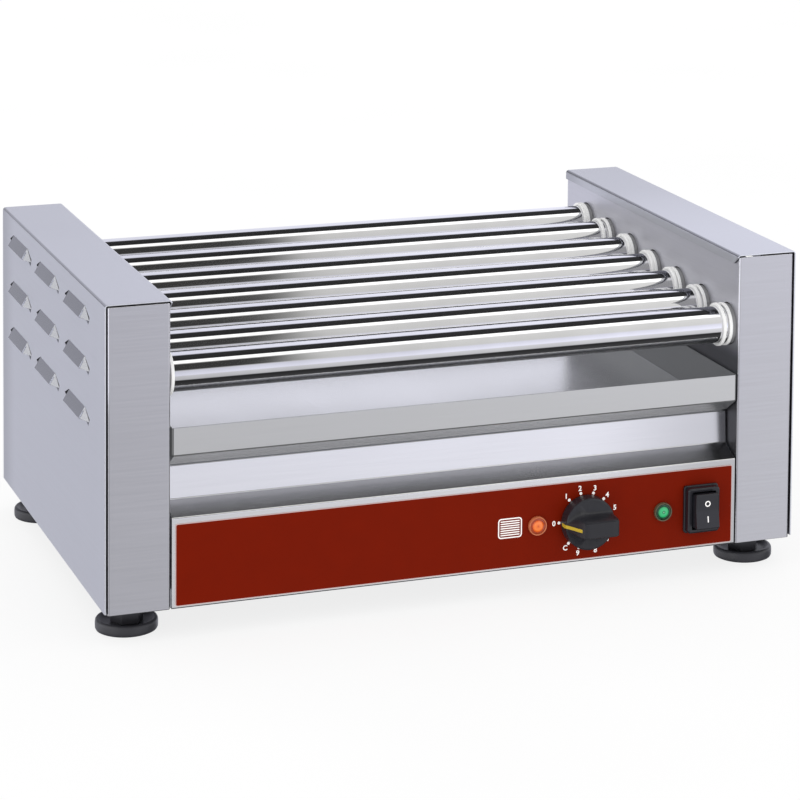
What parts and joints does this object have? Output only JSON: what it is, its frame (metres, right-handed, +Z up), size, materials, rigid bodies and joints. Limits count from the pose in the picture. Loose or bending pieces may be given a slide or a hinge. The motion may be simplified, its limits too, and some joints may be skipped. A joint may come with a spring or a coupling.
{
  "type": "hot dog roller grill",
  "caption": "Counter-top sausage roller grill: heated chrome rollers in a tilted bed between louvred steel end housings, with a slide-out drip tray and a front control panel.",
  "frame": {"origin": "centre of the outline's footprint, on the counter under the feet", "axes": "+X to the right along the rollers, +Y to the rear, +Z up; the control panel faces -Y"},
  "size_m": [0.4992, 0.348, 0.224],
  "materials": {
    "cover_steel": "fine satin brushed stainless sheet",
    "frame_steel": "brushed stainless sheet, grain along the fold lines",
    "tray_steel": "brushed stainless sheet, grain along the long side",
    "galvanized_steel": "dull galvanized sheet",
    "red_overlay": "deep red satin printed label film",
    "roller_chrome": "mirror polished tube",
    "drive_steel": "oiled steel",
    "heater_sheath": "heat darkened steel sheath",
    "bush_white": "white heat resistant plastic",
    "switch_black": "moulded black plastic, light gloss",
    "knob_black": "moulded black plastic, satin",
    "control_body": "dark moulded control body",
    "motor_metal": "dark painted gear motor",
    "foot_black": "black moulded plastic",
    "amber_lens": "translucent amber moulded lens",
    "green_lens": "translucent green moulded lens"
  },
  "bodies": {
    "frame": {"left_end_frame": "frame_steel", "right_end_frame": "frame_steel", "left_end_cover": "cover_steel", "right_end_cover": "cover_steel", "base_pan": "galvanized_steel", "control_panel": "frame_steel", "panel_overlay": "red_overlay", "rear_panel": "frame_steel", "power_inlet": "switch_black", "amber_lamp": "amber_lens", "green_lamp": "green_lens", "thermostat_body": "control_body", "switch_bezel": "switch_black", "gear_motor": "motor_metal", "drive_chain": "drive_steel", "left_heater_bracket": "galvanized_steel", "right_heater_bracket": "galvanized_steel", "heater_rod_1": "heater_sheath", "heater_rod_2": "heater_sheath", "heater_rod_3": "heater_sheath", "heater_rod_4": "heater_sheath", "heater_rod_5": "heater_sheath", "heater_rod_6": "heater_sheath", "heater_rod_7": "heater_sheath", "bush_1_left": "bush_white", "bush_1_right": "bush_white", "bush_2_left": "bush_white", "bush_2_right": "bush_white", "bush_3_left": "bush_white", "bush_3_right": "bush_white", "bush_4_left": "bush_white", "bush_4_right": "bush_white", "bush_5_left": "bush_white", "bush_5_right": "bush_white", "bush_6_left": "bush_white", "bush_6_right": "bush_white", "bush_7_left": "bush_white", "bush_7_right": "bush_white"},
    "roller_1": {"roller_1_tube": "roller_chrome", "roller_1_sprocket": "drive_steel"},
    "roller_2": {"roller_2_tube": "roller_chrome", "roller_2_sprocket": "drive_steel"},
    "roller_3": {"roller_3_tube": "roller_chrome", "roller_3_sprocket": "drive_steel"},
    "roller_4": {"roller_4_tube": "roller_chrome", "roller_4_sprocket": "drive_steel"},
    "roller_5": {"roller_5_tube": "roller_chrome", "roller_5_sprocket": "drive_steel"},
    "roller_6": {"roller_6_tube": "roller_chrome", "roller_6_sprocket": "drive_steel"},
    "roller_7": {"roller_7_tube": "roller_chrome", "roller_7_sprocket": "drive_steel"},
    "motor_drive": {"motor_sprocket": "drive_steel"},
    "tray": {"drip_tray": "tray_steel"},
    "knob": {"thermostat_knob": "knob_black"},
    "rocker": {"switch_rocker": "switch_black"},
    "front_left_foot": {"front_left_foot": "foot_black"},
    "front_right_foot": {"front_right_foot": "foot_black"},
    "rear_left_foot": {"rear_left_foot": "foot_black"},
    "rear_right_foot": {"rear_right_foot": "foot_black"}
  },
  "joints": [
    {"name": "roller_1_spin", "type": "hinge", "parent": "frame", "child": "roller_1", "pos_m": [0, -0.131, 0.172], "axis": [1, 0, 0], "continuous": true},
    {"name": "roller_2_spin", "type": "hinge", "parent": "frame", "child": "roller_2", "pos_m": [0, -0.08745, 0.17518], "axis": [1, 0, 0], "continuous": true},
    {"name": "roller_3_spin", "type": "hinge", "parent": "frame", "child": "roller_3", "pos_m": [0, -0.0439, 0.17837], "axis": [1, 0, 0], "continuous": true},
    {"name": "roller_4_spin", "type": "hinge", "parent": "frame", "child": "roller_4", "pos_m": [0, -0.00035, 0.18155], "axis": [1, 0, 0], "continuous": true},
    {"name": "roller_5_spin", "type": "hinge", "parent": "frame", "child": "roller_5", "pos_m": [0, 0.0432, 0.18473], "axis": [1, 0, 0], "continuous": true},
    {"name": "roller_6_spin", "type": "hinge", "parent": "frame", "child": "roller_6", "pos_m": [0, 0.08675, 0.18792], "axis": [1, 0, 0], "continuous": true},
    {"name": "roller_7_spin", "type": "hinge", "parent": "frame", "child": "roller_7", "pos_m": [0, 0.1303, 0.1911], "axis": [1, 0, 0], "continuous": true},
    {"name": "motor_sprocket_spin", "type": "hinge", "parent": "frame", "child": "motor_drive", "pos_m": [-0.216, 0.0314, 0.066], "axis": [1, 0, 0], "continuous": true},
    {"name": "tray_slide", "type": "slide", "parent": "frame", "child": "tray", "axis": [0, -1, 0], "range_m": [0, 0.28]},
    {"name": "knob_turn", "type": "hinge", "parent": "frame", "child": "knob", "pos_m": [0.0882, -0.1586, 0.0488], "axis": [0, 1, 0], "range_deg": [0, 283]},
    {"name": "rocker_tilt", "type": "hinge", "parent": "frame", "child": "rocker", "pos_m": [0.174, -0.1511, 0.0488], "axis": [1, 0, 0], "range_deg": [0, 10]},
    {"name": "front_left_foot_screw", "type": "slide", "parent": "frame", "child": "front_left_foot", "axis": [0, 0, -1], "range_m": [0, 0.008]},
    {"name": "front_right_foot_screw", "type": "slide", "parent": "frame", "child": "front_right_foot", "axis": [0, 0, -1], "range_m": [0, 0.008]},
    {"name": "rear_left_foot_screw", "type": "slide", "parent": "frame", "child": "rear_left_foot", "axis": [0, 0, -1], "range_m": [0, 0.008]},
    {"name": "rear_right_foot_screw", "type": "slide", "parent": "frame", "child": "rear_right_foot", "axis": [0, 0, -1], "range_m": [0, 0.008]}
  ],
  "couplings": [
    {"joint": "roller_2_spin", "follows": "roller_1_spin", "ratio": 1},
    {"joint": "roller_3_spin", "follows": "roller_1_spin", "ratio": 1},
    {"joint": "roller_4_spin", "follows": "roller_1_spin", "ratio": 1},
    {"joint": "roller_5_spin", "follows": "roller_1_spin", "ratio": 1},
    {"joint": "roller_6_spin", "follows": "roller_1_spin", "ratio": 1},
    {"joint": "roller_7_spin", "follows": "roller_1_spin", "ratio": 1},
    {"joint": "motor_sprocket_spin", "follows": "roller_1_spin", "ratio": 1}
  ]
}
